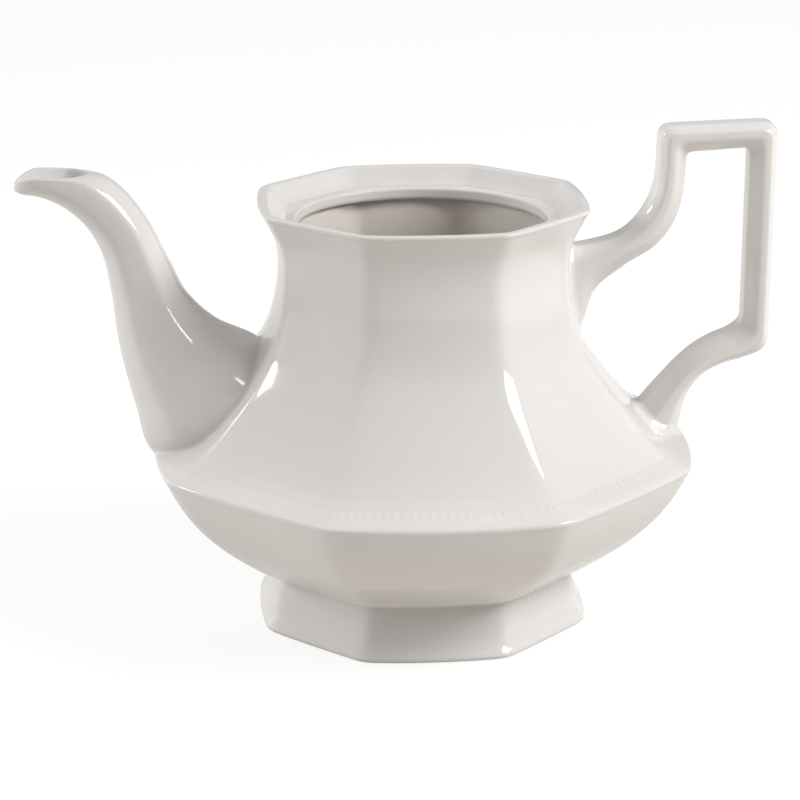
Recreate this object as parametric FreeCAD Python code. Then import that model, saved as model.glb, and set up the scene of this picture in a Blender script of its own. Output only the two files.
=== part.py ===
import FreeCAD, Part
import os
from math import cos, pi, radians, sin, sqrt, tan

Vec = FreeCAD.Vector

# An eight-sided teapot on a pedestal foot, without its lid, as the pieces that are stuck together
# with slip before firing: foot, body shell, lid gallery, spout and handle.
# Millimetres, +Z up. The origin is on the table under the body's axis, the spout points along -X
# and the handle along +X. A half-width is measured square to a main side, at the side's two ends.

# Eight-sided sections: four main sides square to X and Y, and four shorter sides between them
SIDE_SHARE = 0.445      # half the length of a main side for each millimetre of half-width
SIDE_RADIUS = 152.0     # the main sides bow out to this radius
SHORT_RADIUS = 600.0    # the shorter sides are nearly straight
CORNER = 6.0            # radius of the soft upright corners
WALL = 4.5              # thickness of the body's cast wall

# Foot
FOOT_HALF = 50.3        # on the table
FOOT_SWELL_HALF = 48.4  # at the middle of its height
WAIST_HALF = 45.4       # at its top, under the belly
FOOT_HEIGHT = 17.1
FOOT_WALL = 5.6
FOOT_ROUND = 1.2        # rounding of its outer edge on the table

# Body: the widest half-width, then steps in and up from one level to the next
RIDGE_HALF = 80.8       # the widest line of the pot
RIDGE_RISE = 19.0       # belly to ridge
RIDGE_ROUND = 1.6       # rounding of the ridge
BASE_OVERHANG = 3.1     # the belly's lowest edge, beyond the waist
BELLY_STEP = 10.8       # ridge in to the middle of the belly
BELLY_RISE = 18.8       # foot to the middle of the belly
BAND_STEP = 11.8        # ridge in to the top of the bead band
BAND_RISE = 7.5
SHOULDER_STEP = 9.4     # band to shoulder
SHOULDER_RISE = 11.0
COLLAR_STEP = 12.8      # shoulder to where it turns up into the neck
COLLAR_RISE = 21.0
NECK_STEP = 3.0         # collar to the narrowest line above the ridge
NECK_RISE = 18.5
RIM_FLARE = 5.9         # neck out to the rim
RIM_RISE = 21.5
LIP = 3.0               # thickness of the rim's lip
LIP_ROUND = 0.9         # rounding of the lip's two edges

# Lid gallery: a ring in a rebate below the rim, with a round mouth
GALLERY_STEP = 7.7      # rim in to the rebate
GALLERY_DEPTH = 5.5     # from the rim down to the ledge
GALLERY_THICK = 3.8
LEDGE = 3.0             # width of the ledge that carries the lid

# Spout: stations from the seat to the lip. Each gives how far the section's middle lies beyond the
# shoulder's side and above its level, the section's lean from level, its half-height and half-width.
SPOUT_STATIONS = [
    (-5.5, -8.5, 46, 20.0, 19.0),
    (9.4, -1.0, 46, 25.0, 21.5),
    (18.0, 9.9, 45, 18.9, 17.2),
    (24.5, 22.9, 41, 14.2, 13.4),
    (28.4, 38.3, 28, 10.4, 10.6),
    (32.5, 50.5, 28, 8.8, 9.4),
    (38.1, 59.3, 36, 8.3, 9.0),
    (46.2, 66.3, 57, 7.9, 9.0),
    (56.4, 71.3, 77, 8.0, 9.4),
    (65.2, 72.1, 84, 7.6, 9.4),
]
SPOUT_WALL = 4.0        # at the seat
LIP_WALL = 2.2          # at the pouring lip
SPOUT_SHIELD = [(-1.0, 0.22), (-0.30, 0.86), (0.50, 1.02), (1.0, 0.40)]  # corners: shares up, aside
SPOUT_SOFT = 0.42       # corner radius for each millimetre of a section's half-width
POUR_RISE = 70.8        # the level pouring edge, above the shoulder
NOSE_RADIUS = 9.6       # rounding of the lip seen from above

# Strainer: holes through the body's wall inside the spout's seat
STRAINER_HOLE = 6.0     # diameter
STRAINER_PITCH = 11.0
STRAINER_RING = 6       # holes round the middle one

# Handle: an angular loop of one bar, from the neck to the bead band
BAR = 8.4               # thickness seen from the side
BAR_DEPTH = 14.0
BAR_ROUND = 3.1         # rounding of the bar's long edges
TOP_CLEAR = 13.6        # from the rim up to the underside of the top bar, at the riser
TOP_SLOPE = 1.4         # how much the top bar rises towards the grip
RISER_CLEAR = 24.1      # from the rim out to the riser's near face
GRIP_CLEAR = 21.5       # from the ridge out to the near face of the upright grip
ELBOW_CLEAR = 30.6      # from the bead band up to the inside of the lower elbow
ELBOW_DROP = 0.6        # how much thicker the bar is at that elbow
ELBOW_OUTER = 4.4       # rounding outside the elbows
ELBOW_INNER = 2.0       # rounding inside the elbows
# Roots of the handle, each point measured out and up from the neck or from the bead band. The first
# point of an upper curve and the last of a lower one lie inside the body, where the root is cut off.
UPPER_OUTER = [(-10.0, 6.2), (8.5, 6.4), (20.3, 10.4), (27.0, 18.2)]
UPPER_INNER = [(2.0, -28.0), (7.4, -18.0), (10.6, -8.6), (20.0, -0.6), (30.2, 6.2), (35.4, 13.0)]
LOWER_OUTER = [(34.3, 19.1), (21.3, 14.4), (15.0, 5.0), (13.7, -3.0), (6.0, -11.0)]
LOWER_INNER = [(29.5, 27.8), (18.4, 22.2), (9.0, 13.6), (2.2, 5.7), (-8.0, -8.0)]
RISER_OUTER_START = 29.0  # where the upper curves turn upright, above the neck
RISER_INNER_START = 26.0

# Half-widths and levels that follow from the sizes above
BASE_HALF = WAIST_HALF + BASE_OVERHANG
BELLY_HALF = RIDGE_HALF - BELLY_STEP
BAND_HALF = RIDGE_HALF - BAND_STEP
SHOULDER_HALF = BAND_HALF - SHOULDER_STEP
COLLAR_HALF = SHOULDER_HALF - COLLAR_STEP
NECK_HALF = COLLAR_HALF - NECK_STEP
RIM_HALF = NECK_HALF + RIM_FLARE
GALLERY_HALF = RIM_HALF - GALLERY_STEP
MOUTH_RADIUS = GALLERY_HALF - LEDGE
BELLY_Z = FOOT_HEIGHT + BELLY_RISE
RIDGE_Z = BELLY_Z + RIDGE_RISE
BAND_Z = RIDGE_Z + BAND_RISE
SHOULDER_Z = BAND_Z + SHOULDER_RISE
COLLAR_Z = SHOULDER_Z + COLLAR_RISE
NECK_Z = COLLAR_Z + NECK_RISE
RIM_Z = NECK_Z + RIM_RISE
LEDGE_Z = RIM_Z - GALLERY_DEPTH
SEAT_Z = LEDGE_Z - GALLERY_THICK
FLOOR_Z = FOOT_HEIGHT + WALL
SECTIONS = 8            # sections lofted along each curve of the profile
FLAT = 0.01             # an edge that rises less than this is level


def elbow(before, corner, after, radius):
    """Start, middle and end of the arc that rounds the corner between two straight runs."""
    back = (before - corner).normalize()
    ahead = (after - corner).normalize()
    half_angle = back.getAngle(ahead) / 2
    reach = radius / tan(half_angle)
    depth = radius / sin(half_angle) - radius
    return corner + back * reach, corner + (back + ahead).normalize() * depth, corner + ahead * reach


def soft_wire(corners, radius):
    """Closed flat wire through the corners, each corner rounded to the radius."""
    ring = corners[-1:] + corners + corners[:1]
    arcs = [elbow(*ring[index:index + 3], radius) for index in range(len(corners))]
    edges = []
    for index, arc in enumerate(arcs):
        edges.append(Part.Arc(*arc).toShape())
        edges.append(Part.makeLine(arc[2], arcs[(index + 1) % len(arcs)][0]))
    return Part.Wire(edges)


def bowed_side(start, end, radius):
    """Centre and middle of the arc that bows out from a side's chord, going round anticlockwise."""
    outward = Vec(end.y - start.y, start.x - end.x, 0).normalize()
    half_chord = start.distanceToPoint(end) / 2
    centre = (start + end) / 2 - outward * sqrt(radius ** 2 - half_chord ** 2)
    return centre, centre + outward * radius


def crossing(first, first_reach, second, second_reach, near):
    """Where two level circles cross, at the crossing closer to a given point."""
    gap = first.distanceToPoint(second)
    ahead = (gap ** 2 + first_reach ** 2 - second_reach ** 2) / (2 * gap)
    aside = sqrt(first_reach ** 2 - ahead ** 2)
    along = (second - first).normalize()
    across = Vec(-along.y, along.x, 0)
    ends = [first + along * ahead + across * turn for turn in (aside, -aside)]
    return min(ends, key=near.distanceToPoint)


def octagon(half, z):
    """Eight-sided section of bowed sides, with each corner an arc that touches both its sides."""
    end = SIDE_SHARE * half
    corners = [Vec(x, y, z) for x, y in [(half, -end), (half, end), (end, half), (-end, half),
                                         (-half, end), (-half, -end), (-end, -half), (end, -half)]]
    count = len(corners)
    radii = [SIDE_RADIUS, SHORT_RADIUS] * (count // 2)
    ends = corners[1:] + corners[:1]
    sides = [bowed_side(*side) for side in zip(corners, ends, radii)]
    rounds = []
    for index, corner in enumerate(corners):
        before, after = sides[index - 1][0], sides[index][0]
        hub = crossing(before, radii[index - 1] - CORNER, after, radii[index] - CORNER, corner)
        outward = [hub - before, corner - hub, hub - after]
        rounds.append([hub + way.normalize() * CORNER for way in outward])
    edges = []
    for index in range(count):
        edges.append(Part.Arc(*rounds[index]).toShape())
        edges.append(Part.Arc(rounds[index][2], sides[index][1], rounds[(index + 1) % count][0]).toShape())
    return Part.Wire(edges)


def eight_sided(profile, ruled=False):
    """Solid lofted through eight-sided sections, for a list of (half-width, level)."""
    return Part.makeLoft([octagon(half, z) for half, z in profile], True, ruled)


def curve_points(curve, inset=0.0):
    """Points evenly along a profile curve, moved square to it towards the pot's inside."""
    first, last = curve.FirstParameter, curve.LastParameter
    points = []
    for step in range(SECTIONS):
        at = first + (last - first) * step / (SECTIONS - 1)
        along = curve.tangent(at)[0]
        inward = Vec(-along.z, 0, along.x)
        place = curve.value(at) + inward * inset
        points.append((place.x, place.z))
    return points


def spline(points, start=None, end=None):
    """Smooth curve in the XZ plane through (x, z) points, with optional end directions."""
    places = [Vec(x, 0, z) for x, z in points]
    ways = [Vec(1, 0, 0) for _ in places]
    held = [False for _ in places]
    if start is not None:
        ways[0] = start
        held[0] = True
    if end is not None:
        ways[-1] = end
        held[-1] = True
    curve = Part.BSplineCurve()
    curve.interpolate(Points=places, Tangents=ways, TangentFlags=held)
    return curve


def belly_curve():
    """The belly's round profile from its lowest edge to the ridge."""
    return Part.Arc(Vec(BASE_HALF, 0, FOOT_HEIGHT), Vec(BELLY_HALF, 0, BELLY_Z),
                    Vec(RIDGE_HALF, 0, RIDGE_Z))


def shoulder_curve():
    """The hollow profile from the ridge up to the rim."""
    return spline([(RIDGE_HALF, RIDGE_Z), (BAND_HALF, BAND_Z), (SHOULDER_HALF, SHOULDER_Z),
                   (COLLAR_HALF, COLLAR_Z), (NECK_HALF, NECK_Z), (RIM_HALF, RIM_Z)])


def edges_at(shape, z):
    """The edges of a shape that lie flat at one level."""
    return [edge for edge in shape.Edges
            if abs(edge.BoundBox.ZMin - z) < FLAT and abs(edge.BoundBox.ZMax - z) < FLAT]


def body_envelope():
    """The body's outside, filled, with the ridge rounded."""
    belly = eight_sided(curve_points(belly_curve()))
    shoulder = eight_sided(curve_points(shoulder_curve()))
    whole = belly.fuse(shoulder)
    return whole.makeFillet(RIDGE_ROUND, edges_at(whole, RIDGE_Z)).Solids[0]


def body_hollow():
    """The space inside the cast wall, from the floor up through the neck."""
    arc = belly_curve().toShape().Curve
    reach = arc.Radius - WALL
    turn_z = RIDGE_Z - WALL / 2
    belly = []
    for step in range(SECTIONS):
        z = FLOOR_Z + (turn_z - FLOOR_Z) * step / (SECTIONS - 1)
        belly.append((arc.Center.x + sqrt(reach ** 2 - (z - arc.Center.z) ** 2), z))
    shoulder = [belly[-1]] + curve_points(shoulder_curve(), WALL)[1:]
    return eight_sided(belly).fuse(eight_sided(shoulder))


def rebate():
    """The seat cut for the gallery, and the slope from its ledge up to the lip."""
    seat = eight_sided([(GALLERY_HALF, SEAT_Z), (GALLERY_HALF, LEDGE_Z)], ruled=True)
    slope = eight_sided([(GALLERY_HALF, LEDGE_Z), (RIM_HALF - LIP, RIM_Z)], ruled=True)
    return seat.fuse(slope)


def strainer_holes():
    """Drills for one middle hole and a ring of holes, square to the spout's seat."""
    lean = radians(SPOUT_STATIONS[1][2])
    up = Vec(cos(lean), 0, sin(lean))
    out = Vec(-sin(lean), 0, cos(lean))
    middle = Vec(-SHOULDER_HALF, 0, SHOULDER_Z)
    places = [middle]
    for index in range(STRAINER_RING):
        turn = 2 * pi * index / STRAINER_RING
        places.append(middle + (up * cos(turn) + Vec(0, sin(turn), 0)) * STRAINER_PITCH)
    reach = 3 * WALL
    drills = [Part.makeCylinder(STRAINER_HOLE / 2, 2 * reach, place - out * reach, out) for place in places]
    return drills[0].multiFuse(drills[1:])


def make_body(envelope):
    """Hollow body shell with the gallery's rebate, a rounded lip and the strainer."""
    shell = envelope.cut(body_hollow()).cut(rebate()).cut(strainer_holes()).Solids[0]
    return shell.makeFillet(LIP_ROUND, edges_at(shell, RIM_Z))


def make_gallery():
    """Ring in the rebate: eight-sided outside, with the lid's round seat inside."""
    ring = eight_sided([(GALLERY_HALF, SEAT_Z), (GALLERY_HALF, LEDGE_Z)], ruled=True)
    return ring.cut(Part.makeCylinder(MOUTH_RADIUS, GALLERY_THICK, Vec(0, 0, SEAT_Z)))


def make_foot():
    """Hollow eight-sided pedestal, swelling slightly between the table and the waist."""
    profile = [(FOOT_HALF, 0), (FOOT_SWELL_HALF, FOOT_HEIGHT / 2), (WAIST_HALF, FOOT_HEIGHT)]
    outside = eight_sided(profile)
    inside = eight_sided([(half - FOOT_WALL, z) for half, z in profile])
    return outside.makeFillet(FOOT_ROUND, edges_at(outside, 0)).cut(inside)


def spout_section(station, wall):
    """One shield-shaped section: narrow under the spout, widest near its top."""
    out, rise, lean, half_height, half_width = station
    high = Vec(cos(radians(lean)), 0, sin(radians(lean))) * (half_height - wall)
    wide = Vec(0, 1, 0) * (half_width - wall)
    middle = Vec(-SHOULDER_HALF - out, 0, SHOULDER_Z + rise)
    one = [middle + high * up + wide * side for up, side in SPOUT_SHIELD]
    other = [middle + high * up - wide * side for up, side in reversed(SPOUT_SHIELD)]
    return soft_wire(one + other, SPOUT_SOFT * (half_width - wall))


def pouring_lip():
    """What is cut away at the tip: all above the level pouring edge, and round the nose."""
    tip = SHOULDER_HALF + SPOUT_STATIONS[-1][0]
    level = SHOULDER_Z + POUR_RISE
    around = 2 * NOSE_RADIUS
    above = Part.makeBox(tip + around, 2 * tip, level, Vec(-tip - around, -tip, level))
    block = Part.makeBox(around + NOSE_RADIUS, 2 * around, level, Vec(-tip - around, -around, SHOULDER_Z))
    nose = Part.makeCylinder(NOSE_RADIUS, level, Vec(NOSE_RADIUS - tip, 0, SHOULDER_Z))
    return above.fuse(block.cut(nose))


def make_spout(envelope):
    """Curved spout seated on the body, with a through bore and a level pouring lip."""
    last = len(SPOUT_STATIONS) - 1
    outside = Part.makeLoft([spout_section(station, 0) for station in SPOUT_STATIONS], True, False)
    walls = [SPOUT_WALL + (LIP_WALL - SPOUT_WALL) * index / last for index in range(last + 1)]
    bore = Part.makeLoft([spout_section(*pair) for pair in zip(SPOUT_STATIONS, walls)], True, False)
    reach = RIDGE_HALF + SPOUT_STATIONS[-1][0]
    under_ridge = Part.makeBox(2 * reach, 2 * reach, RIDGE_Z, Vec(-reach, -reach, 0))
    return outside.cut(envelope).cut(under_ridge).cut(pouring_lip()).cut(bore)


def handle_outline():
    """Closed outline of the handle seen from the side, running on a little inside the body."""
    near_riser = RIM_HALF + RISER_CLEAR
    near_grip = RIDGE_HALF + GRIP_CLEAR
    under_top = RIM_Z + TOP_CLEAR
    elbow_z = BAND_Z + ELBOW_CLEAR
    up = Vec(0, 0, 1)

    def from_neck(points):
        return [(NECK_HALF + out, NECK_Z + rise) for out, rise in points]

    def from_band(points):
        return [(BAND_HALF + out, BAND_Z + rise) for out, rise in points]

    def side(upper, riser_x, riser_z, top_z, grip_x, foot_z, lower, radius):
        """One side of the bar: root curve, riser, top bar, grip, elbow and lower arm."""
        arm = Vec(lower[0][0], 0, lower[0][1])
        runs = [Vec(riser_x, 0, riser_z), Vec(riser_x, 0, top_z), Vec(grip_x, 0, top_z + TOP_SLOPE),
                Vec(grip_x, 0, foot_z), arm]
        edges = [spline(upper + [(riser_x, riser_z)], end=up).toShape()]
        at = runs[0]
        for index in range(1, len(runs) - 1):
            arc = elbow(runs[index - 1], runs[index], runs[index + 1], radius)
            edges.append(Part.makeLine(at, arc[0]))
            edges.append(Part.Arc(*arc).toShape())
            at = arc[2]
        edges.append(Part.makeLine(at, arm))
        edges.append(spline(lower, start=(arm - runs[-2]).normalize()).toShape())
        return edges

    outer = side(from_neck(UPPER_OUTER), near_riser, NECK_Z + RISER_OUTER_START, under_top + BAR,
                 near_grip + BAR, elbow_z - BAR - ELBOW_DROP, from_band(LOWER_OUTER), ELBOW_OUTER)
    inner = side(from_neck(UPPER_INNER), near_riser + BAR, NECK_Z + RISER_INNER_START, under_top,
                 near_grip, elbow_z, from_band(LOWER_INNER), ELBOW_INNER)
    neck_end = Part.makeLine(outer[0].Vertexes[0].Point, inner[0].Vertexes[0].Point)
    band_end = Part.makeLine(outer[-1].Vertexes[-1].Point, inner[-1].Vertexes[-1].Point)
    return Part.Wire(Part.__sortEdges__(outer + [band_end] + inner + [neck_end]))


def make_handle(envelope):
    """Bar cut from its side outline, with its long edges rounded, seated on the body."""
    half = BAR_DEPTH / 2
    bar = Part.Face(handle_outline()).extrude(Vec(0, BAR_DEPTH, 0))
    bar.translate(Vec(0, -half, 0))
    rims = [edge for edge in bar.Edges if abs(abs(edge.CenterOfMass.y) - half) < FLAT]
    shown = [edge for edge in rims
             if not all(envelope.isInside(end.Point, FLAT, True) for end in edge.Vertexes)]
    return bar.makeFillet(BAR_ROUND, shown).cut(envelope)


os.makedirs("parts", exist_ok=True)
outside_form = body_envelope()
pieces = {
    "foot": make_foot(),
    "body_shell": make_body(outside_form),
    "lid_gallery": make_gallery(),
    "spout": make_spout(outside_form),
    "handle": make_handle(outside_form),
}
for name, piece in pieces.items():
    print(name, piece.isValid(), len(piece.Solids), round(piece.Volume))
    piece.exportStep(os.path.join("parts", name + ".step"))
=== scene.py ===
# %% [markdown]
# # An eight-sided glazed teapot
# This lesson dresses the measured solids of a teapot as fired, glazed clay. The solids say where each
# piece is and how large it is. Here each piece gets its final surface, then a glaze, then a studio to
# stand in. Every surface is a formula of two parameters, worked out on a grid with numpy. Lengths are in
# millimetres until a mesh is made, and +Z is up.

import bmesh
import bpy
import numpy as np
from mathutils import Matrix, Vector


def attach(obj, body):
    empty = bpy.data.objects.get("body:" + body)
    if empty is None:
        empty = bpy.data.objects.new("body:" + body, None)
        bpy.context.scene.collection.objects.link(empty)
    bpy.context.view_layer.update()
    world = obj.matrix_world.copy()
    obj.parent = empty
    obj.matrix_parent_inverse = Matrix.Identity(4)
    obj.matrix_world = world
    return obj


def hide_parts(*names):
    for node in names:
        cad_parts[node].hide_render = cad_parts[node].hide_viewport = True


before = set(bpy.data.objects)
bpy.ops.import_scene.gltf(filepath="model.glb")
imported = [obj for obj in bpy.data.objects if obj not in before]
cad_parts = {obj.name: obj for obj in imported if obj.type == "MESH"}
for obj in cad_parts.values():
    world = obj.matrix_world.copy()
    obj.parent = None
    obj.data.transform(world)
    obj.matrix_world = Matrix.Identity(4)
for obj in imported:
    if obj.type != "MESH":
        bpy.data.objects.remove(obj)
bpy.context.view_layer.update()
print("solids:", ", ".join(sorted(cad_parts)))

# %% [markdown]
# ## Smooth curves
# A potter thinks of a pot as one flowing profile. A Bezier curve object could hold it, but each of its
# handles would have to be placed. Here a short list of measured points is enough: the curve passes
# through all of them, and the neighbours of a point decide the slope there.

# %% Smooth curves
def smooth(points, count, keys=2):
    """Curve through points: on each span a cubic with the slopes that the neighbouring points give.

    Spans are measured in the first `keys` columns, and the result is spaced evenly along them."""
    points = np.asarray(points, float)
    span = np.linalg.norm(np.diff(points[:, :keys], axis=0), axis=1)
    at = np.concatenate([[0.0], np.cumsum(span)])
    slope = np.gradient(points, at, axis=0)
    place = np.linspace(0.0, at[-1], count)
    k = np.clip(np.searchsorted(at, place, side="right") - 1, 0, len(span) - 1)
    w = ((place - at[k]) / span[k])[:, None]
    run = span[k][:, None]
    return ((1 + 2 * w) * (1 - w) ** 2 * points[k] + w * (1 - w) ** 2 * run * slope[k]
            + w * w * (3 - 2 * w) * points[k + 1] + w * w * (w - 1) * run * slope[k + 1])


print("an arch through three points:", smooth([(0, 0), (1, 1), (2, 0)], 5).round(2).tolist())

# %% [markdown]
# ## From grids to meshes
# A surface here is a grid of points, row by row. The Screw modifier turns a profile into a round pot, but
# this pot is eight-sided and has a spout, so its faces are numbered straight from the grid. Points that
# meet are joined, which closes seams and poles. Shading is smooth, except over folds that are sharper
# than a set angle. Each finished piece rides on the pot and takes the place of its solid.

# %% Meshes
MM_PER_METRE = 1000.0
MERGE_M = 4e-6           # points closer than this, in metres, are one point
SHARP = np.radians(75)   # edges that fold more than this stay sharp


def grid_faces(rows, columns, around):
    """Corner numbers of the faces of a grid, closed round its columns if asked."""
    index = np.arange(rows * columns).reshape(rows, columns)
    if around:
        index = np.concatenate([index, index[:, :1]], axis=1)
    corners = [index[:-1, :-1], index[:-1, 1:], index[1:, 1:], index[1:, :-1]]
    return np.stack(corners, axis=-1).reshape(-1, 4)


def add_piece(name, grids, stands_for=None):
    """One smooth mesh from several (points, around) grids in millimetres, joined where they meet."""
    places, faces, start = [], [], 0
    for points, around in grids:
        rows, columns = points.shape[:2]
        places.append(points.reshape(-1, 3) / MM_PER_METRE)
        faces.append(grid_faces(rows, columns, around) + start)
        start += rows * columns
    mesh = bpy.data.meshes.new(name)
    mesh.from_pydata(np.concatenate(places).tolist(), [], np.concatenate(faces).tolist())
    work = bmesh.new()
    work.from_mesh(mesh)
    bmesh.ops.remove_doubles(work, verts=work.verts, dist=MERGE_M)
    bmesh.ops.recalc_face_normals(work, faces=work.faces)
    work.to_mesh(mesh)
    work.free()
    mesh.polygons.foreach_set("use_smooth", np.ones(len(mesh.polygons), bool))
    mesh.set_sharp_from_angle(angle=SHARP)
    piece = bpy.data.objects.new(name, mesh)
    bpy.context.scene.collection.objects.link(piece)
    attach(piece, "root")
    if stands_for:
        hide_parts(stands_for)
    print(name, len(mesh.vertices), "points", len(mesh.polygons), "faces")
    return piece


print("faces of a closed grid of 3 rows and 4 columns:", len(grid_faces(3, 4, True)))

# %% [markdown]
# ## The eight-sided section
# Every level of the pot has the same outline: four main sides that bow out a little and four shorter
# sides that are nearly straight, with soft corners. A bevelled octagon would have flat sides and would
# need a bevel for every size. Instead, each side is an arc seen from the axis, and the outline is the
# soft minimum of the eight arcs: it follows the nearest side and rounds off where two sides are equally
# near.

# %% Section
SIDE_SHARE = 0.445     # half a main side's length for each millimetre of half-width
SIDE_RADIUS = 152.0    # bow of the main sides
SHORT_RADIUS = 600.0   # bow of the shorter sides
SOFT = 0.80            # softness of the upright corners
SOFT_SHARE = 0.02      # most softness for each millimetre of half-width, for the small sections


def section_radius(turn, half):
    """Distance from the axis at an angle: minus s log of the sum of exp(-reach / s) over the eight arcs."""
    reaches = []
    for side in range(8):
        main = side % 2 == 0
        radius = SIDE_RADIUS if main else SHORT_RADIUS
        flat = half if main else half * (1 + SIDE_SHARE) / np.sqrt(2)
        chord = half * SIDE_SHARE if main else half * (1 - SIDE_SHARE) / np.sqrt(2)
        centre = flat - np.sqrt(radius ** 2 - chord ** 2)
        facing = np.cos(turn - side * np.pi / 4)
        reaches.append(centre * facing + np.sqrt(radius ** 2 - centre ** 2 * (1 - facing ** 2)))
    reaches = np.stack(reaches)
    least = reaches.min(axis=0)
    soft = np.minimum(SOFT, SOFT_SHARE * half)
    return least - soft * np.log(np.exp((least - reaches) / soft).sum(axis=0))


main_reach, short_reach = section_radius(np.array([0, np.pi / 4]), 50.0)
print(f"at half-width 50: main side {main_reach:.1f} mm out, shorter side {short_reach:.1f} mm out")

# %% [markdown]
# The columns of the grid are not spread evenly. They crowd towards the corners, where the surface turns,
# and are further apart on the sides, which are almost flat. So the corners look round without a finer
# mesh all over.

# %% Columns
STEPS = 32             # columns on each side
CROWD = 0.8            # how much the columns crowd towards the corners, from 0 to 1

corner = np.arctan(SIDE_SHARE)
corners = np.concatenate([[k * np.pi / 2 - corner, k * np.pi / 2 + corner] for k in range(5)])
part = np.arange(STEPS) / STEPS
eased = part - CROWD * np.sin(2 * np.pi * part) / (2 * np.pi)
TURN = (corners[:8, None] + np.diff(corners[:9])[:, None] * eased).reshape(-1)
print("columns round the pot:", len(TURN))


def around_axis(profile):
    """Grid of a (half-width, level) profile carried round the eight-sided section."""
    half, level = profile[:, :1], profile[:, 1:]
    radius = section_radius(TURN[None, :], half)
    return np.stack([radius * np.cos(TURN), radius * np.sin(TURN), level + 0 * radius], axis=-1)


# %% [markdown]
# ## Body
# The body is cast hollow in a mould, so it has an outside, an inside and a rounded rim between them. A
# Solidify modifier could thicken one skin, but the lid's ledge has no match outside. So one closed
# profile runs from the middle of the underside, round the belly to the ridge, up the hollow shoulder and
# neck to the rim, over the lip, down the slope to the ledge, and inside to the floor. The thin raised
# line above the ridge is a bell-shaped swelling of the half-width.

# %% Body
AXIS = 0.001           # half-width of a section that closes on the axis
LINE_LEVEL = 59.6      # where the raised line runs
LINE_HEIGHT = 0.4
LINE_WIDTH = 0.55

UNDERSIDE = [(AXIS, 17.1), (24.0, 17.1), (45.0, 17.1), (47.4, 17.25)]
BELLY = [(48.6, 17.9), (50.6, 19.0), (54.6, 21.9), (59.9, 26.1), (65.3, 31.0), (69.8, 35.9), (73.5, 40.9),
         (76.5, 45.9), (78.9, 50.9), (79.8, 53.0)]
RIDGE = [(79.8, 53.0), (80.35, 54.0), (80.62, 54.8), (80.4, 55.45), (79.6, 55.95), (78.0, 56.7)]
SHOULDER = [(78.0, 56.7), (74.8, 58.1), (72.0, 59.7), (69.0, 62.4), (64.9, 66.9), (59.7, 73.4),
            (54.3, 80.9), (51.1, 85.9), (48.9, 89.7), (46.8, 94.9), (45.2, 101.0), (44.2, 107.0),
            (43.8, 112.9), (44.0, 118.9), (45.1, 124.4), (47.6, 130.0), (48.9, 132.6)]
LIP = [(48.9, 132.6), (49.45, 133.5), (49.5, 134.0), (49.1, 134.35), (48.2, 134.4), (47.3, 134.35),
       (46.7, 134.0), (46.2, 133.4)]
INSIDE = [(46.2, 133.4), (44.4, 131.4), (43.2, 130.1), (42.3, 129.35), (41.2, 128.92), (41.6, 127.6),
          (40.6, 124.6), (39.8, 121.0), (39.4, 113.0), (40.4, 103.0), (42.6, 94.0), (46.9, 86.0),
          (55.4, 74.4), (64.0, 64.6), (73.0, 57.4), (75.0, 54.4), (73.6, 49.6), (69.6, 42.4),
          (62.4, 33.4), (54.0, 25.8), (46.0, 22.2), (36.0, 21.6)]
INNER_FLOOR = [(20.0, 21.6), (AXIS, 21.6)]
OUTSIDE_ROWS = [(BELLY, 56), (RIDGE, 16), (SHOULDER, 120)]   # each stretch with its rows of the grid
LIP_ROWS = 20
INSIDE_ROWS = 90

outside = np.concatenate([smooth(stretch, rows)[:-1] for stretch, rows in OUTSIDE_ROWS])
outside[:, 0] += LINE_HEIGHT * np.exp(-((outside[:, 1] - LINE_LEVEL) / LINE_WIDTH) ** 2)
inside = [smooth(LIP, LIP_ROWS)[:-1], smooth(INSIDE, INSIDE_ROWS), INNER_FLOOR]
profile = np.concatenate([UNDERSIDE, outside] + inside)
body = add_piece("body", [(around_axis(profile), True)], "body_shell")

# %% [markdown]
# ## Lid gallery
# The gallery is the ring below the rim that a lid rests on. It is eight-sided outside, where it is stuck
# to the body, and round inside. A boolean could cut a round hole in an eight-sided plate, but it would
# leave long thin faces. Here the radius is a mix of the section and a circle, and the share of each
# changes along the ring's own small profile.

# %% Lid gallery
MOUTH = 39.0           # radius of the round mouth
SEAT = 42.3            # half-width of the ring's eight-sided outside
LEDGE = 128.9          # level of the ledge
GALLERY_BASE = 125.1   # level of the ring's underside
GALLERY_STEPS = 6      # rows between two stops

# Share of the eight-sided section, half-width or radius, and level.
GALLERY = [(1.0, SEAT, LEDGE), (0.0, MOUTH + 0.9, LEDGE), (0.0, MOUTH + 0.35, 128.75),
           (0.0, MOUTH + 0.05, 128.35), (0.0, MOUTH, 127.6), (0.0, MOUTH, 126.0), (0.0, MOUTH + 0.3, 125.3),
           (0.0, MOUTH + 1.0, GALLERY_BASE), (1.0, SEAT, GALLERY_BASE), (1.0, SEAT, LEDGE)]


def gallery_ring(stops):
    """Grid of a ring: at each stop the radius is a share of the section and the rest a circle."""
    stops = np.asarray(stops)
    at = np.linspace(0, len(stops) - 1, (len(stops) - 1) * GALLERY_STEPS + 1)
    share, reach, level = [np.interp(at, np.arange(len(stops)), stops[:, k])[:, None] for k in range(3)]
    radius = share * section_radius(TURN[None, :], reach) + (1 - share) * reach
    return np.stack([radius * np.cos(TURN), radius * np.sin(TURN), level + 0 * radius], axis=-1)


gallery = add_piece("gallery", [(gallery_ring(GALLERY), True)], "lid_gallery")

# %% [markdown]
# ## Foot
# The foot is a hollow pedestal, made by itself and stuck under the belly. It flares a little at the
# bottom, and its toe is rounded, because a sharp edge of glaze would chip. It has the same section as the
# body, so the same function carries its profile round. No point lies below the table.

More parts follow.
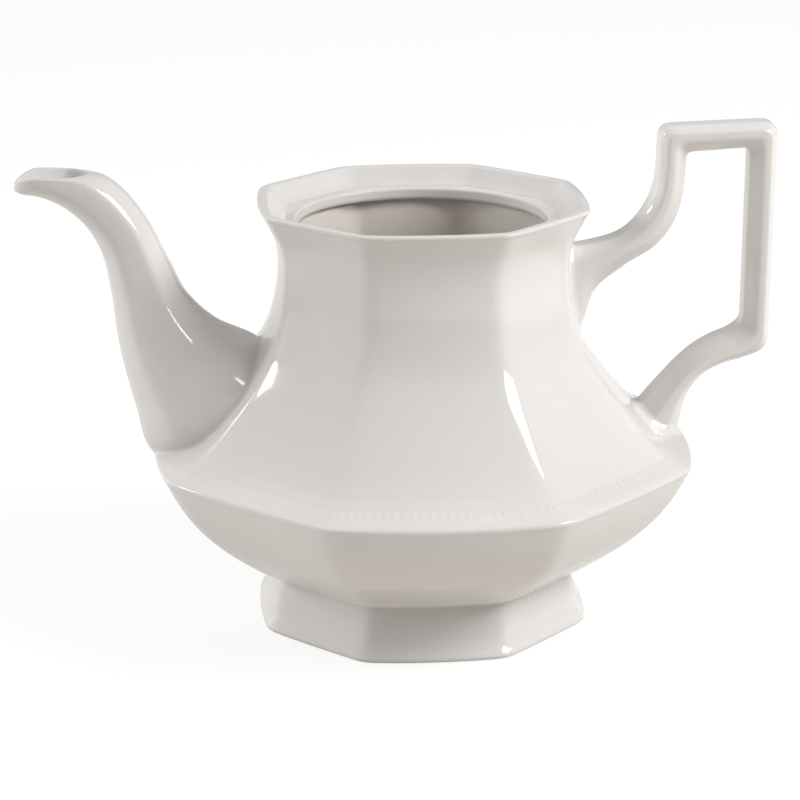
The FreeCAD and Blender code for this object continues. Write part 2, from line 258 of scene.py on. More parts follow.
# %% Foot
FOOT_OUTSIDE = [(45.5, 17.6), (45.8, 16.2), (46.7, 12.6), (47.6, 8.8), (48.5, 5.4), (49.5, 3.2),
                (50.2, 2.1)]
FOOT_TOE = [(50.2, 2.1), (50.55, 1.3), (50.3, 0.5), (49.3, 0.0), (47.6, 0.0), (46.2, 0.0), (45.4, 0.3),
            (44.9, 1.2)]
FOOT_INSIDE = [(44.9, 1.2), (43.4, 6.0), (41.6, 11.6), (40.0, 17.4), (45.5, 17.6)]
FOOT_ROWS = 26
TOE_ROWS = 20

foot_runs = [smooth(FOOT_OUTSIDE, FOOT_ROWS)[:-1], smooth(FOOT_TOE, TOE_ROWS)[:-1], FOOT_INSIDE]
foot_profile = np.concatenate(foot_runs)
foot_profile[:, 1] = np.maximum(foot_profile[:, 1], 0.0)
foot = add_piece("foot_ring", [(around_axis(foot_profile), True)], "foot")

# %% [markdown]
# ## Roots of slip
# The spout and handle are stuck on with slip, which is runny clay, and it fills the angle where they meet
# the body. A boolean union with a bevel often fails on curved pieces like these. So a piece is followed
# out of the body, and over its first few millimetres it is pushed aside along a quarter circle: it leaves
# the body's skin level and then turns up into the piece. For that, two things are measured at any point:
# how far it is from the body, and which way is out.

# %% Distance from the body
PROBE = 0.2            # step to each side over which a slope is measured
outer_skin = outside[np.argsort(outside[:, 1])]


def from_body(points):
    """Distance from the body's outside and the way out of it, by the slope of radius minus section."""
    def excess(place):
        turn = np.arctan2(place[..., 1], place[..., 0])
        half = np.interp(place[..., 2], outer_skin[:, 1], outer_skin[:, 0])
        return np.hypot(place[..., 0], place[..., 1]) - section_radius(turn, half)

    ways = PROBE * np.eye(3)
    slope = np.stack([(excess(points + way) - excess(points - way)) / (2 * PROBE) for way in ways], axis=-1)
    length = np.linalg.norm(slope, axis=-1)
    return excess(points) / length, slope / length[..., None]


clear, _ = from_body(np.array([100.0, 0.0, 100.0]))
print(f"the middle of the grip is {clear:.0f} mm clear of the body")

# %% Roots
ROOT_ROWS = 12         # rows on the quarter circle
ROOT_BED = 0.06        # how deep the root's rim lies in the body's skin
ROOT_ROUNDS = 3        # corrections that bring each row to its height
TINY = 1e-9            # keeps a division by zero away


def rooted(grid, fillet, rows):
    """The grid cut off at the body, with a quarter-circle root and a flat end; row 0 lies inside the body.

    At the angle a of the quarter circle, a row stands fillet (1 - cos a) above the body's skin, and is
    pushed fillet (1 - sin a) aside."""
    gap, _ = from_body(grid)
    leaves = len(grid) - 1 - np.argmax(gap[::-1] < 0, axis=0)
    strides = np.linalg.norm(np.diff(grid, axis=0), axis=-1)
    along = np.concatenate([0 * grid[:1, :, 0], np.cumsum(strides, axis=0)])
    angle = np.linspace(0, np.pi / 2, ROOT_ROWS)
    height = fillet * (1 - np.cos(angle))
    aside = fillet * (1 - np.sin(angle))

    def resample(column):
        at, rise, first = along[:, column], gap[:, column], leaves[column]
        climb = np.maximum.accumulate(rise[first:])
        root = np.interp(height, climb, at[first:])
        places = np.concatenate([root, np.linspace(root[-1], at[-1], rows)[1:]])
        return np.stack([np.interp(places, at, grid[:, column, k]) for k in range(3)], axis=-1)

    made = np.stack([resample(column) for column in range(grid.shape[1])], axis=1)
    round_way = np.gradient(made, axis=1)
    round_way[:, [0, -1]] = (made[:, [1, 1]] - made[:, [-2, -2]]) / 2
    out = np.cross(np.gradient(made, axis=0), round_way)
    middle = made.mean(axis=1, keepdims=True)
    out *= np.sign((out * (made - middle)).sum(axis=-1, keepdims=True))
    base = made[:ROOT_ROWS]
    _, way = from_body(base)
    out = out[:ROOT_ROWS] - (out[:ROOT_ROWS] * way).sum(axis=-1, keepdims=True) * way
    out /= np.linalg.norm(out, axis=-1, keepdims=True) + TINY
    moved = base + out * aside[:, None, None]
    for _ in range(ROOT_ROUNDS):
        now, way = from_body(moved)
        moved = moved + way * (height[:, None] - now - ROOT_BED * np.cos(angle)[:, None])[..., None]
    end = np.repeat(moved[:1].mean(axis=1, keepdims=True), moved.shape[1], axis=1)
    return np.concatenate([end, moved, made[ROOT_ROWS:]])


print("rows in a root of slip:", ROOT_ROWS)

# %% [markdown]
# ## Rounded outlines
# The spout's section is a soft shield and the handle's a bar with slanted edges. Both are polygons with
# worn corners. Blender could bevel the edges of a swept polygon, but where a sweep narrows, such bevels
# run into each other. The soft minimum that rounds the pot's corners works here too, this time on
# straight lines, and it scales with the section.

# %% Rounded outlines
LEAST_FACING = 0.02    # sides that turn away further than this are out of reach


def soft_outline(corners, soft, angle):
    """Point of a rounded outline at an angle from its bottom: soft minimum of the reach to each side."""
    way = np.stack([np.sin(angle), -np.cos(angle)], axis=-1)
    edge = np.roll(corners, -1, axis=0) - corners
    normal = np.stack([edge[:, 1], -edge[:, 0]], axis=-1) / np.linalg.norm(edge, axis=1)[:, None]
    reach = (normal * corners).sum(axis=1) / np.maximum(way @ normal.T, LEAST_FACING)
    least = reach.min(axis=-1, keepdims=True)
    radius = least[..., 0] - soft * np.log(np.exp((least - reach) / soft).sum(axis=-1))
    return way * radius[..., None]


def round_end(part):
    """Quarter circle from 0 to 1: the square root of one minus the square of what is left."""
    return np.sqrt(1 - (1 - np.clip(part, 0, 1)) ** 2)


print("a quarter circle at its start, middle and end:", round_end(np.array([0.0, 0.5, 1.0])).round(2))

# %% [markdown]
# ## Spout
# The spout is cast by itself and stuck on over the strainer holes. It could be a curve with a bevel
# object, but the section turns, narrows and opens at the tip, so it is lofted. Stations along the S give
# the middle of the section, its lean, half-height and half-width. Near the tip the section is flattened
# at the level of the pouring edge, and a leaf-shaped mouth opens in that flat.

# %% Spout stations
# X and level of the middle, lean in degrees, half-height and half-width.
STATIONS = [(-54.1, 64.9, 46, 20.0, 19.0), (-69.0, 72.4, 46, 25.0, 21.5), (-77.6, 83.3, 45, 18.9, 17.2),
            (-84.1, 96.3, 41, 14.2, 13.4), (-88.0, 111.7, 28, 10.4, 10.6), (-92.1, 123.9, 28, 8.8, 9.4),
            (-97.7, 132.7, 36, 8.3, 9.0), (-105.8, 139.7, 57, 7.9, 9.0), (-116.0, 144.6, 77, 8.0, 9.4),
            (-124.8, 145.5, 84, 7.6, 9.4)]
SHIELD = np.array([(0.22, -1.0), (0.93, -0.46), (1.02, 0.50), (0.40, 1.0),
                   (-0.40, 1.0), (-1.02, 0.50), (-0.93, -0.46), (-0.22, -1.0)])
SHIELD_SOFT = 0.09
SPOUT_COLUMNS = 129
STATION_STEPS = 800    # points on the smooth curve through the stations
TABLE_STEPS = 721      # angles at which the shield is measured
MOUTH_BACK = -105.6    # where the mouth starts

dense = smooth(STATIONS, STATION_STEPS)
share = np.linspace(0, 1, len(dense))
opens = np.interp(-MOUTH_BACK, -dense[:, 0], share)
sweep = np.linspace(-1, 1, SPOUT_COLUMNS)
half_turn = np.linspace(0, np.pi, TABLE_STEPS)
reach_table, rise_table = soft_outline(SHIELD, SHIELD_SOFT, half_turn).T
widest = np.argmax(reach_table)
print(f"the mouth opens at {opens:.2f} of the spout's length")

# %% Spout skin
TIP = -124.8           # where the spout ends
TIP_RUN = 7.4          # length over which the tip rounds to its full width
LEAST_WIDTH = 1e-4     # share of the width that is left at the very tip
POUR = 144.2           # level of the pouring edge
LIP_DIP = 2.6          # how far the edge drops at the tip
DIP_RUN = 6.0          # length over which it drops
DIP_POWER = 1.5        # a higher power keeps the drop nearer to the tip
MOUTH_RUN = 7.0        # length over which the mouth reaches its full width
WALL = 2.0             # thickness of the pouring edge
LEAST_MOUTH = 0.45     # least width of the mouth, as a share of the section's
CHIN = 0.55            # height of the tip under the edge, as a share of the section's
CHIN_RUN = 4.0         # length over which it reaches its full height
FLATTEN = 0.16         # softness of the edge, as a share of the section's half-height


def spout_rows(at):
    """Outer skin of the spout at shares of its length, up to the edge of the mouth where there is one.

    Heights above the pouring edge are flattened by a soft minimum. The mouth's half-width is the section's
    own at that level, less the wall, times a quarter circle that starts at the back of the mouth."""
    x, z, lean, high, wide = [np.interp(at, share, dense[:, k])[:, None] for k in range(5)]
    lean = np.radians(lean)
    wide = wide * np.maximum(round_end((x - TIP) / TIP_RUN), LEAST_WIDTH)
    rim = POUR - LIP_DIP * np.clip(1 - (x - TIP) / DIP_RUN, 0, 1) ** DIP_POWER
    limit = (rim - z) / (high * np.sin(lean))
    level_width = wide * np.interp(limit, rise_table, reach_table)
    open_width = np.maximum(level_width - WALL, LEAST_MOUTH * level_width)
    mouth = open_width * round_end((MOUTH_BACK - x) / MOUTH_RUN)
    span = np.interp(-mouth / wide, -reach_table[widest:], half_turn[widest:])
    section = soft_outline(SHIELD, SHIELD_SOFT, sweep[None, :] * span)
    chin = CHIN + (1 - CHIN) * round_end((x - TIP) / CHIN_RUN)
    up = limit - (limit - section[..., 1]) * chin
    least = np.minimum(up, limit)
    up = least - FLATTEN * np.log(np.exp((least - up) / FLATTEN) + np.exp((least - limit) / FLATTEN))
    up = up * high
    return np.stack([x + up * np.cos(lean), section[..., 0] * wide, z + up * np.sin(lean)], axis=-1)


end_row = spout_rows(np.array([1.0]))
print(f"the spout reaches to X {end_row[..., 0].min():.1f} mm, with its edge {end_row[0, -1, 2]:.1f} mm up")

# %% Spout rows
SPOUT_FILLET = 1.5     # radius of the slip at the root
SPOUT_SAMPLES = 320    # rows from which the root is cut
SPOUT_ROWS = 110
MOUTH_ROWS = 96
MOUTH_CROWD = 1.6      # power by which these rows crowd towards the tip

tube = rooted(spout_rows(np.linspace(0, opens, SPOUT_SAMPLES)), SPOUT_FILLET, SPOUT_ROWS)
mouth_part = 1 - (1 - np.linspace(0, 1, MOUTH_ROWS)) ** MOUTH_CROWD
mouth_at = opens + (1 - opens) * mouth_part
mouth_skin = spout_rows(mouth_at)
print("rows of the spout:", len(tube), "below the mouth and", len(mouth_skin), "beside it")

# %% [markdown]
# Tea leaves the spout along a trough, which is shallow at the lip and falls away into the bore. It starts
# from the edge of the mouth, so that no gap can open between them. Across it, the depth is one minus the
# cube of the distance from the middle, to the power of one and a half, so that it leaves the edge gently.

# %% Pouring trough
# Distance from the back of the mouth, depth of the trough there, and how far its floor leans back.
TROUGH = [(0.0, 0.0, 0.0), (1.0, 8.0, 4.5), (2.6, 15.0, 10.0), (4.4, 12.5, 8.0), (6.6, 8.2, 3.2),
          (10.0, 4.8, 0.5), (14.5, 2.8, 0.0), (18.0, 1.2, 0.0), (19.2, 0.3, 0.0)]
TROUGH_STEPS = 300     # points on the smooth curve through them
TROUGH_COLUMNS = 61

floor_line = smooth(TROUGH, TROUGH_STEPS, keys=1)
edge = mouth_skin[:, -1:, :]
run = np.interp(mouth_at, share, MOUTH_BACK - dense[:, 0])[:, None]
depth, slide = [np.interp(run, floor_line[:, 0], floor_line[:, k]) for k in (1, 2)]
across = np.linspace(-1, 1, TROUGH_COLUMNS)[None, :]
sink = (1 - np.abs(across) ** 3) ** 1.5
trough = np.stack([edge[..., 0] + slide * sink, edge[..., 1] * across,
                   edge[..., 2] - depth * sink], axis=-1)
skin = np.concatenate([tube[:-1], mouth_skin])
spout = add_piece("spout_skin", [(skin, False), (trough, False)], "spout")

# %% [markdown]
# ## Handle
# The handle is one bar, pressed in a mould as a loop with tight corners, and its arms swell into the
# body. A curve with a bevel would keep one thickness, and this bar changes all the way. So its outer and
# inner sides are drawn as two lines with the same number of points, and each pair of points carries an
# eight-sided section as deep as the bar, with a wide slant towards the fingers.

# %% Bar sides
ROOT_POINTS = 60       # points on the curve from the neck
RUN_POINTS = 14        # points on a straight run, its ends counted
BEND_POINTS = 9        # points round a corner
ARM_POINTS = 64        # points on the curve to the belly


def bend(corner, before, after, reach):
    """Rounded corner: a quadratic curve from run to run, starting `reach` before the corner."""
    corner, before, after = [np.asarray(point, float) for point in (corner, before, after)]
    start = corner + (before - corner) * reach / np.linalg.norm(before - corner)
    end = corner + (after - corner) * reach / np.linalg.norm(after - corner)
    t = np.linspace(0, 1, BEND_POINTS)[:, None]
    return start * (1 - t) ** 2 + 2 * corner * t * (1 - t) + end * t * t


def bar_side(upper, corners, lower, reach):
    """One side of the bar: root curve, riser, top, grip, elbow and lower arm, as rows of (x, z)."""
    knots = [upper[-1]] + corners + [lower[0]]
    runs = [smooth(upper, ROOT_POINTS)]
    for index in range(1, len(knots) - 1):
        turn = bend(knots[index], knots[index - 1], knots[index + 1], reach)
        t = np.linspace(0, 1, RUN_POINTS)[1:-1, None]
        runs += [runs[-1][-1] * (1 - t) + turn[0] * t, turn]
    arm = smooth([tuple(runs[-1][-1])] + lower, ARM_POINTS)[1:]
    return np.concatenate(runs + [arm])


print("points along one side:", ROOT_POINTS + 3 * (RUN_POINTS - 2 + BEND_POINTS) + ARM_POINTS - 1)

# %% Bar lines
OUTER_ROUND = 4.2      # how far before a corner its rounding starts
OUTER_ROOT = [(33.8, 119.3), (52.3, 119.5), (64.1, 123.4), (70.6, 131.2), (73.2, 138.6), (73.8, 145.0)]
OUTER_CORNERS = [(73.9, 156.4), (110.7, 157.5), (110.6, 84.1)]
OUTER_ARM = [(103.0, 81.4), (95.6, 79.3), (90.2, 76.4), (86.6, 72.4), (84.2, 67.4), (82.9, 61.0),
             (80.0, 50.0)]
INNER_ROUND = 2.2
INNER_ROOT = [(45.8, 84.9), (51.2, 94.9), (54.4, 104.3), (63.8, 112.3), (74.0, 119.0), (78.9, 125.6),
              (81.6, 134.6), (82.2, 142.0)]
INNER_CORNERS = [(82.3, 148.1), (102.2, 149.2), (102.2, 92.9)]
INNER_ARM = [(98.3, 90.3), (92.8, 88.0), (87.2, 84.7), (82.2, 80.4), (78.0, 75.9), (71.2, 68.1),
             (61.0, 54.4)]
outer_side = bar_side(OUTER_ROOT, OUTER_CORNERS, OUTER_ARM, OUTER_ROUND)
inner_side = bar_side(INNER_ROOT, INNER_CORNERS, INNER_ARM, INNER_ROUND)
print("pairs of points along the bar:", len(outer_side))

# %% Handle
BAR_HALF_DEPTH = 7.0
BAR = np.array([(-1.0, -0.45), (-0.12, -1.0), (0.52, -1.0), (1.0, -0.52),
                (1.0, 0.52), (0.52, 1.0), (-0.12, 1.0), (-1.0, 0.45)])
BAR_SOFT = 0.05
BAR_COLUMNS = 113
HANDLE_FILLET = 3.0
HANDLE_ROWS = 110      # rows of each half, its root not counted

thick, deep = soft_outline(BAR, BAR_SOFT, np.linspace(0, 2 * np.pi, BAR_COLUMNS)).T
centre, reach = (outer_side + inner_side) / 2, (outer_side - inner_side) / 2
bar = np.stack([centre[:, :1] + reach[:, :1] * thick, 0 * reach[:, :1] + BAR_HALF_DEPTH * deep,
                centre[:, 1:] + reach[:, 1:] * thick], axis=-1)
cut = len(bar) // 2
upper_half = rooted(bar[:cut + 1], HANDLE_FILLET, HANDLE_ROWS)
lower_half = rooted(bar[cut:][::-1], HANDLE_FILLET, HANDLE_ROWS)[::-1]
handle = add_piece("handle_bar", [(np.concatenate([upper_half, lower_half[1:]]), False)], "handle")

# %% [markdown]
# ## Bead band
# A row of small upright beads lies on the slope between the raised line and the ridge. In the mould they
# are one row of shallow dimples. Instances on a curve would do, but each bead has to lie on the slope of
# its own side, so the beads are worked out together as one array. They are spaced by length along the
# band, because equal angles would crowd them on the sides that are nearer to the axis.

# %% Bead places
BEADS = 188
BAND_HALF = 75.6       # half-width of the band's middle line
BAND_LEVEL = 57.72     # its level
BAND_FOOT = (78.2, 56.6)   # half-width and level at the bottom of the slope
BAND_TOP = (72.9, 59.1)    # and at its top
BAND_STEPS = 8001      # angles at which its length is measured
STEP_ASIDE = 1e-3      # angle over which the band's direction is measured


def band_line(turn):
    """Points of the band's middle line: the section's radius at the band's half-width, at its level."""
    radius = section_radius(turn, BAND_HALF)
    return np.stack([radius * np.cos(turn), radius * np.sin(turn), BAND_LEVEL + 0 * turn], axis=-1)


fine = np.linspace(0, 2 * np.pi, BAND_STEPS)
band_length = np.concatenate([[0], np.cumsum(np.linalg.norm(np.diff(band_line(fine), axis=0), axis=1))])
where = np.interp((np.arange(BEADS) + 0.5) / BEADS * band_length[-1], band_length, fine)
print(f"{BEADS} beads on a band of {band_length[-1]:.0f} mm")

# %% [markdown]
# Each bead is a low mound: its height is the square root of one minus the squared distance from its
# middle. It has a flat underside that lies just under the glaze, so that it is closed.

# %% Beads
BEAD_WIDE = 1.0        # half-width along the band
BEAD_LONG = 2.5        # half-length up the slope
BEAD_HIGH = 0.14
BEAD_SINK = 0.04       # how deep the underside lies in the body
BEAD_SIDES = 12
rho = np.array([0, 1, 0.75, 0.5, 0.25, 0])[:, None]
top = np.array([0, 1, 1, 1, 1, 1])[:, None]
spin = np.linspace(0, 2 * np.pi, BEAD_SIDES + 1)[None, :-1]
mound = np.stack([BEAD_WIDE * rho * np.cos(spin), BEAD_LONG * rho * np.sin(spin),
                  top * BEAD_HIGH * np.sqrt(1 - rho ** 2) + 0 * spin - BEAD_SINK], axis=-1)

spot = band_line(where)
tangent = band_line(where + STEP_ASIDE) - spot
tangent /= np.linalg.norm(tangent, axis=-1, keepdims=True)
outward = np.stack([tangent[:, 1], -tangent[:, 0], 0 * where], axis=-1)
slope_way = np.subtract(BAND_TOP, BAND_FOOT)
slope_way = slope_way / np.linalg.norm(slope_way)
uphill = outward * slope_way[0] + np.array([0, 0, 1.0]) * slope_way[1]
lift = np.cross(tangent, uphill)
lift *= np.sign(lift[:, 2:])
gap, _ = from_body(spot)
spot = spot - lift * gap[:, None]
mounds = (spot[:, None, None] + mound[None, ..., :1] * tangent[:, None, None]
          + mound[None, ..., 1:2] * uphill[:, None, None] + mound[None, ..., 2:] * lift[:, None, None])
beads = add_piece("bead_band", [(points, True) for points in mounds])

# %% [markdown]
# ## Painted shade inside the pot
# The inside of the pot is painted a little darker and warmer, as painted shade in its hollow. The shade
# could follow the height alone, but then the outside would be darkened too. So each point of the body
# stores how far it lies inside the wall as an attribute of the mesh, and the glaze reads it. It fades out
# below the lid's ledge.

# %% Inside mask
SHADE_DEPTH = 1.5       # distance inside the outer skin where the painted shade starts, and over which it grows
SHADE_TOP = 127.0       # level where it has faded out
SHADE_FADE = 5.0        # height over which it fades
SHADE_BASE = 19.0       # level below which there is none, so that the underside stays white

places = np.empty(3 * len(body.data.vertices))
body.data.vertices.foreach_get("co", places)
places = MM_PER_METRE * places.reshape(-1, 3)
wall_gap, _ = from_body(places)
level = places[:, 2]
within = np.clip(-wall_gap / SHADE_DEPTH - 1, 0, 1)
# painted shade: how strongly each point inside the pot is darkened and warmed
inside_shade = within * np.clip((SHADE_TOP - level) / SHADE_FADE, 0, 1) * np.clip(level - SHADE_BASE, 0, 1)
mask = body.data.attributes.new("inside", "FLOAT", "POINT")
mask.data.foreach_set("value", inside_shade)
print("tinted points inside:", int(inside_shade.astype(bool).sum()))

# %% [markdown]
# ## Glaze
# The glaze is a warm white glass over pale clay. Seen closely it isn't one flat colour: its tone changes
# slowly, it has a few pinholes, and a faint waviness bends the highlights. The edge that the foot stands
# on is bare clay, because glaze would stick there in the kiln. Painted textures could hold all this, but
# noise on the object's own coordinates needs no seams and stays sharp close up. A few small helpers make
# the nodes.

# %% Node helpers
def noise_node(group, place, scale, detail):
    """Noise on the object's own coordinates."""
    node = group.nodes.new("ShaderNodeTexNoise")
    node.inputs["Scale"].default_value = scale
    node.inputs["Detail"].default_value = detail
    group.links.new(place, node.inputs["Vector"])
    return node.outputs["Fac"]


def ramp_node(group, value, low, high):
    """Colour ramp between two (position, colour) stops."""
    node = group.nodes.new("ShaderNodeValToRGB")
    for stop, (position, colour) in zip(node.color_ramp.elements, (low, high)):
        stop.position = position
        stop.color = (*colour, 1)
    group.links.new(value, node.inputs["Fac"])
    return node.outputs["Color"]


def range_node(group, value, start, end, low=0.0, high=1.0):
    """Straight line from low at start to high at end, held level outside."""
    node = group.nodes.new("ShaderNodeMapRange")
    for name, number in zip(("From Min", "From Max", "To Min", "To Max"), (start, end, low, high)):
        node.inputs[name].default_value = number
    group.links.new(value, node.inputs["Value"])
    return node.outputs["Result"]


def mix_colour(group, factor, first, second):
    """Mix of two colours by a mask; the second may be a plain colour."""
    node = group.nodes.new("ShaderNodeMix")
    node.data_type = "RGBA"
    group.links.new(factor, node.inputs["Factor"])
    group.links.new(first, node.inputs["A"])
    if isinstance(second, tuple):
        node.inputs["B"].default_value = (*second, 1)
    else:
        group.links.new(second, node.inputs["B"])
    return node.outputs["Result"]


print("node helpers: noise, ramp, range, mix")

# %% [markdown]
# The group puts out only what changes over the surface: tone, roughness and the normal. The scales of the
# noise say how many of its waves fit in a metre.

# %% Glaze group
CLOUD_SCALE = 14.0
DARK_STOP, PALE_STOP = 0.3, 0.7   # values of the noise at the two ends of a colour ramp
GLAZE_DEEP = (0.692, 0.669, 0.648)
GLAZE_PALE = (0.722, 0.701, 0.682)
GLAZE_ROUGH = (0.05, 0.11)
PINHOLE_SCALE = 900.0
PINHOLE_RANGE = (0.26, 0.18)   # noise below these values is the rim and the middle of a pinhole
PINHOLE = (0.62, 0.585, 0.55)
# painted shade: the darker, warmer colour mixed in inside the pot
INSIDE_SHADE_COLOUR = (0.66, 0.60, 0.53)
INSIDE_SHADE_MOST = 0.6                 # share of the painted shade's colour where the inside mask is full
GRAIN_SCALE = 1600.0
CLAY_DARK = (0.50, 0.45, 0.38)
CLAY_PALE = (0.66, 0.61, 0.54)
CLAY_ROUGH = 0.85
BARE_RANGE_M = (0.0007, 0.0003)   # heights where the glaze ends and the clay is bare
WAVE_SCALE = 42.0
WAVE_HEIGHT_M = 0.0012
WAVE_STRENGTH = 0.10


def glaze_tone(group, place, cloud, bare):
    """Colour of the glaze: slow clouds of tone, with pinholes, painted shade inside and bare clay mixed in
    by masks.
    """
    tone = ramp_node(group, cloud, (DARK_STOP, GLAZE_DEEP), (PALE_STOP, GLAZE_PALE))
    pinholes = range_node(group, noise_node(group, place, PINHOLE_SCALE, 1.0), *PINHOLE_RANGE)
    tone = mix_colour(group, pinholes, tone, PINHOLE)
    # painted shade: the inside attribute mixes the glaze towards a darker, warmer colour
    shade_attribute = group.nodes.new("ShaderNodeAttribute")
    shade_attribute.attribute_name = "inside"
    tone = mix_colour(group, range_node(group, shade_attribute.outputs["Fac"], 0.0, 1.0, 0.0, INSIDE_SHADE_MOST), tone, INSIDE_SHADE_COLOUR)
    speckle = noise_node(group, place, GRAIN_SCALE, 2.0)
    grain = ramp_node(group, speckle, (DARK_STOP, CLAY_DARK), (PALE_STOP, CLAY_PALE))
    return mix_colour(group, bare, tone, grain)


def glaze_group():
    """Tone, roughness and waviness of the glaze: each is a value or mask that changes over the pot."""
    group = bpy.data.node_groups.new("glaze", "ShaderNodeTree")
    for name, kind in (("Tone", "Color"), ("Roughness", "Float"), ("Normal", "Vector")):
        group.interface.new_socket(name=name, in_out="OUTPUT", socket_type="NodeSocket" + kind)
    place = group.nodes.new("ShaderNodeTexCoord").outputs["Object"]
    height = group.nodes.new("ShaderNodeSeparateXYZ")
    group.links.new(place, height.inputs[0])
    bare = range_node(group, height.outputs["Z"], *BARE_RANGE_M)
    cloud = noise_node(group, place, CLOUD_SCALE, 3.0)
    rough = group.nodes.new("ShaderNodeMix")
    rough.inputs["B"].default_value = CLAY_ROUGH
    group.links.new(bare, rough.inputs["Factor"])
    group.links.new(range_node(group, cloud, 0.0, 1.0, *GLAZE_ROUGH), rough.inputs["A"])
    bump = group.nodes.new("ShaderNodeBump")
    bump.inputs["Strength"].default_value = WAVE_STRENGTH
    bump.inputs["Distance"].default_value = WAVE_HEIGHT_M
    group.links.new(noise_node(group, place, WAVE_SCALE, 1.0), bump.inputs["Height"])
    out = group.nodes.new("NodeGroupOutput")
    group.links.new(glaze_tone(group, place, cloud, bare), out.inputs["Tone"])
    group.links.new(rough.outputs["Result"], out.inputs["Roughness"])
    group.links.new(bump.outputs["Normal"], out.inputs["Normal"])
    return group


glaze_values = glaze_group()
print("nodes in the glaze group:", len(glaze_values.nodes))

# %% [markdown]
# The shader itself stays in the material, and takes its varying values from the group. Glaze is a glass,
# so it has the refraction of glass and no metal, and its highlights are white.

# %% Glaze material
GLASS = 1.52           # index of refraction


def glaze_material(name, group):
    """Glossy glazed clay that takes its varying values from the glaze group."""
    material = bpy.data.materials.new(name)
    material.use_nodes = True
    nodes, links = material.node_tree.nodes, material.node_tree.links
    shader = nodes["Principled BSDF"]
    shader.inputs["IOR"].default_value = GLASS
    values = nodes.new("ShaderNodeGroup")
    values.node_tree = group
    links.new(values.outputs["Tone"], shader.inputs["Base Color"])
    links.new(values.outputs["Roughness"], shader.inputs["Roughness"])
    links.new(values.outputs["Normal"], shader.inputs["Normal"])
    return material


glaze = glaze_material("white_glaze", glaze_values)
glazed = (body, gallery, foot, spout, handle, beads)
for piece in glazed:
    piece.data.materials.append(glaze)
print("glazed pieces:", len(glazed))

# %% [markdown]
# ## Floor
# The pot stands on pale paper. White paper would throw so much light up that the belly would lose its
# shade, and grey paper would look grey. So the light that bounces off the floor meets a pale matte one,
# and the camera sees white paper with a faint shadow. The glaze reflects a mix of both, so that no hard
# horizon shows in it.

# %% Shader helpers
def math_node(tree, kind, first, second, third=None):
    """A math node; each input is a number or another node's output."""
    node = tree.nodes.new("ShaderNodeMath")
    node.operation = kind
    for socket_in, value in zip(node.inputs, (first, second, third)):
        if isinstance(value, bpy.types.NodeSocket):
            tree.links.new(value, socket_in)
        elif value is not None:
            socket_in.default_value = value
    return node.outputs[0]


def choose(tree, factor, others, seen):
    """One shader for the rays that the factor picks, and another for the rest."""
    mix = tree.nodes.new("ShaderNodeMixShader")
    tree.links.new(factor, mix.inputs["Fac"])
    tree.links.new(others.outputs[0], mix.inputs[1])
    tree.links.new(seen.outputs[0], mix.inputs[2])
    return mix.outputs[0]


print("shader helpers: math, choose")

# %% Floor
FLOOR_REACH_M = 3.0
FLOOR_COLOUR = (0.67, 0.635, 0.59)
FLOOR_ROUGH = 0.9
PAPER_SHADE = (0.2, 0.2, 0.2)   # the part of the paper's brightness that shadows take away
PAPER_GLOW = 0.82               # the part that stays
GLAZE_SHARE = 0.5               # how much of the white paper the glaze reflects


def floor_material(name):
    """Pale matte floor for the light that bounces, and white paper for the rays that look at it."""
    material = bpy.data.materials.new(name)
    material.use_nodes = True
    tree = material.node_tree
    matte = tree.nodes["Principled BSDF"]
    matte.inputs["Base Color"].default_value = (*FLOOR_COLOUR, 1)
    matte.inputs["Roughness"].default_value = FLOOR_ROUGH
    shaded = tree.nodes.new("ShaderNodeBsdfDiffuse")
    shaded.inputs["Color"].default_value = (*PAPER_SHADE, 1)
    glow = tree.nodes.new("ShaderNodeEmission")
    glow.inputs["Strength"].default_value = PAPER_GLOW
    paper = tree.nodes.new("ShaderNodeAddShader")
    tree.links.new(shaded.outputs[0], paper.inputs[0])
    tree.links.new(glow.outputs[0], paper.inputs[1])
    rays = tree.nodes.new("ShaderNodeLightPath").outputs
    looks = math_node(tree, "MULTIPLY_ADD", rays["Is Glossy Ray"], GLAZE_SHARE, rays["Is Camera Ray"])
    looks = math_node(tree, "ADD", looks, rays["Is Transmission Ray"])
    tree.links.new(choose(tree, looks, matte, paper), tree.nodes["Material Output"].inputs["Surface"])
    return material


edges = FLOOR_REACH_M * np.array([(-1, -1, 0), (1, -1, 0), (1, 1, 0), (-1, 1, 0)])
ground = bpy.data.meshes.new("floor")
ground.from_pydata(edges.tolist(), [], [(0, 1, 2, 3)])
ground.materials.append(floor_material("pale_floor"))
floor_piece = bpy.data.objects.new("floor", ground)
bpy.context.scene.collection.objects.link(floor_piece)
print("floor:", 2 * FLOOR_REACH_M, "m each way")

# %% [markdown]
# ## Surroundings
# A glossy pot shows its surroundings, so they matter as much as the lamps. A picture of a studio could
# light it, but a sum of soft lobes is plainer and easy to change: bright on the left, paler on the right,
# behind and above, and dark behind the camera, which keeps the front of the pot shaded. A lobe is a power
# of the cosine, so a higher power is a narrower lobe. The camera itself sees plain white.

# %% Surroundings
# Direction of the lobe's middle, power of the cosine, and strength.
LOBES = [((-1, 0, 0), 2, 1.45), ((-0.87, 0.5, 0), 6, 2.30), ((1, 0, 0), 2, 0.42), ((0, 1, 0), 2, 0.64),
         ((0, 0, 1), 2, 0.40)]
GLAZE_DIM = 0.45       # how much weaker the lobes are in the glaze's reflections
WHITE = (1, 1, 1, 1)


def lobe_sum(tree, lobes):
    """Sum over the lobes of strength times a power of the cosine between direction and axis."""
    way = tree.nodes.new("ShaderNodeTexCoord")
    total = 0.0
    for axis, power, strength in lobes:
        dot = tree.nodes.new("ShaderNodeVectorMath")
        dot.operation = "DOT_PRODUCT"
        dot.inputs[1].default_value = axis
        tree.links.new(way.outputs["Generated"], dot.inputs[0])
        facing = math_node(tree, "MAXIMUM", dot.outputs["Value"], 0.0)
        total = math_node(tree, "MULTIPLY_ADD", math_node(tree, "POWER", facing, power), strength, total)
    return total


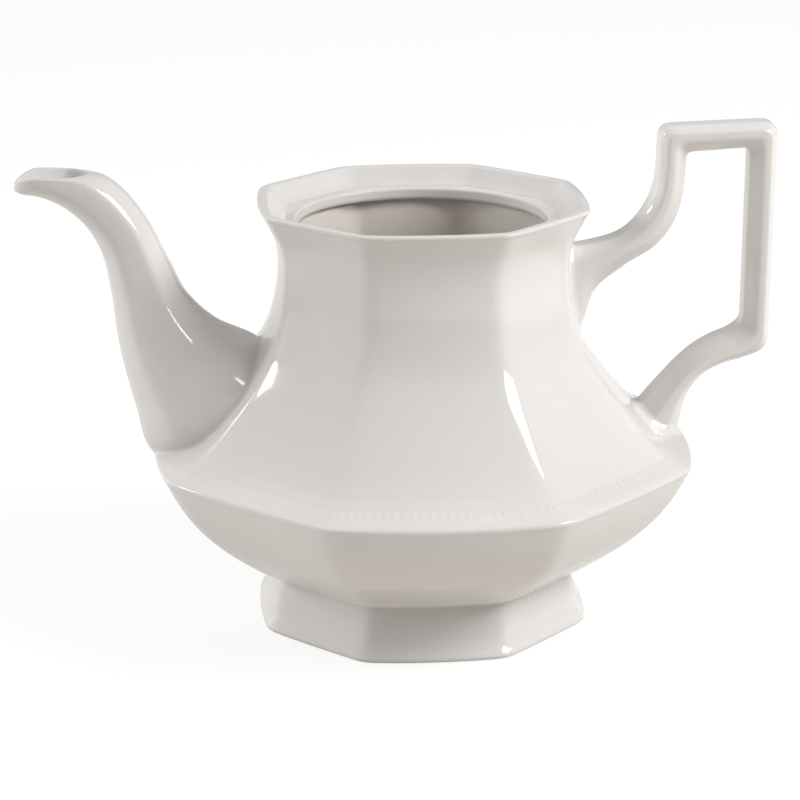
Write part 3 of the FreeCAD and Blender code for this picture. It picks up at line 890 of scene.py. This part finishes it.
world = bpy.data.worlds.new("studio")
bpy.context.scene.world = world
world.use_nodes = True
tree = world.node_tree
rays = tree.nodes.new("ShaderNodeLightPath").outputs
dimmed = math_node(tree, "MULTIPLY_ADD", rays["Is Glossy Ray"], -GLAZE_DIM, 1.0)
room = tree.nodes["Background"]
room.inputs["Color"].default_value = WHITE
tree.links.new(math_node(tree, "MULTIPLY", lobe_sum(tree, LOBES), dimmed), room.inputs["Strength"])
backdrop = tree.nodes.new("ShaderNodeBackground")
backdrop.inputs["Color"].default_value = WHITE
seen = choose(tree, rays["Is Camera Ray"], room, backdrop)
tree.links.new(seen, tree.nodes["World Output"].inputs["Surface"])
print("lobes of light:", len(LOBES))

# %% [markdown]
# ## Lights
# Two soft boxes make the clear highlights: a large one high on the right draws the long glint down the
# corner of the shoulder, and a small one on the left adds the short glint on the neck beside the spout. A
# sun lamp would give hard shadows and pinpoint glints, and glazed ware is mostly shown under soft boxes.

# %% Lights
AIM_M = (0, 0, 0.08)
# Place in metres, width and height in metres, and watts.
LAMPS = {"main": ((1.02, -0.46, 0.90), (0.80, 0.55), 17.6),
         "left": ((-1.00, 0.175, 0.57), (0.12, 0.15), 1.4)}


def softbox(name, at, size, power):
    """Rectangular soft light at a place, turned towards the middle of the pot."""
    lamp = bpy.data.lights.new(name, "AREA")
    lamp.shape = "RECTANGLE"
    lamp.size, lamp.size_y = size
    lamp.energy = power
    light = bpy.data.objects.new(name, lamp)
    light.location = at
    light.rotation_euler = Vector(np.subtract(AIM_M, at)).to_track_quat("-Z", "Y").to_euler()
    bpy.context.scene.collection.objects.link(light)


for name, (at, size, power) in LAMPS.items():
    softbox(name, at, size, power)
    print(name, "lamp:", power, "W")

# %% [markdown]
# ## Camera
# The camera stands where the photograph was taken from, a little to the spout's side and looking down by
# about seventeen degrees. A long lens keeps the eight sides in proportion. The Standard view shows
# colours as they are written.

# %% Camera
LENS = 112.55          # focal length for a sensor 36 mm wide
SENSOR = 36.0
EYE_M = (-0.07026, -0.75717, 0.30759)
EYE_TURN = (72.5532, -0.0199, -4.7855)   # degrees about X, Y and Z

eye = bpy.data.cameras.new("eye")
eye.lens = LENS
eye.sensor_width = SENSOR
camera = bpy.data.objects.new("eye", eye)
camera.location = EYE_M
camera.rotation_euler = np.radians(EYE_TURN)
bpy.context.scene.collection.objects.link(camera)
bpy.context.scene.camera = camera
bpy.context.scene.view_settings.view_transform = "Standard"
print(f"camera {np.linalg.norm(EYE_M):.2f} m from the middle of the foot")
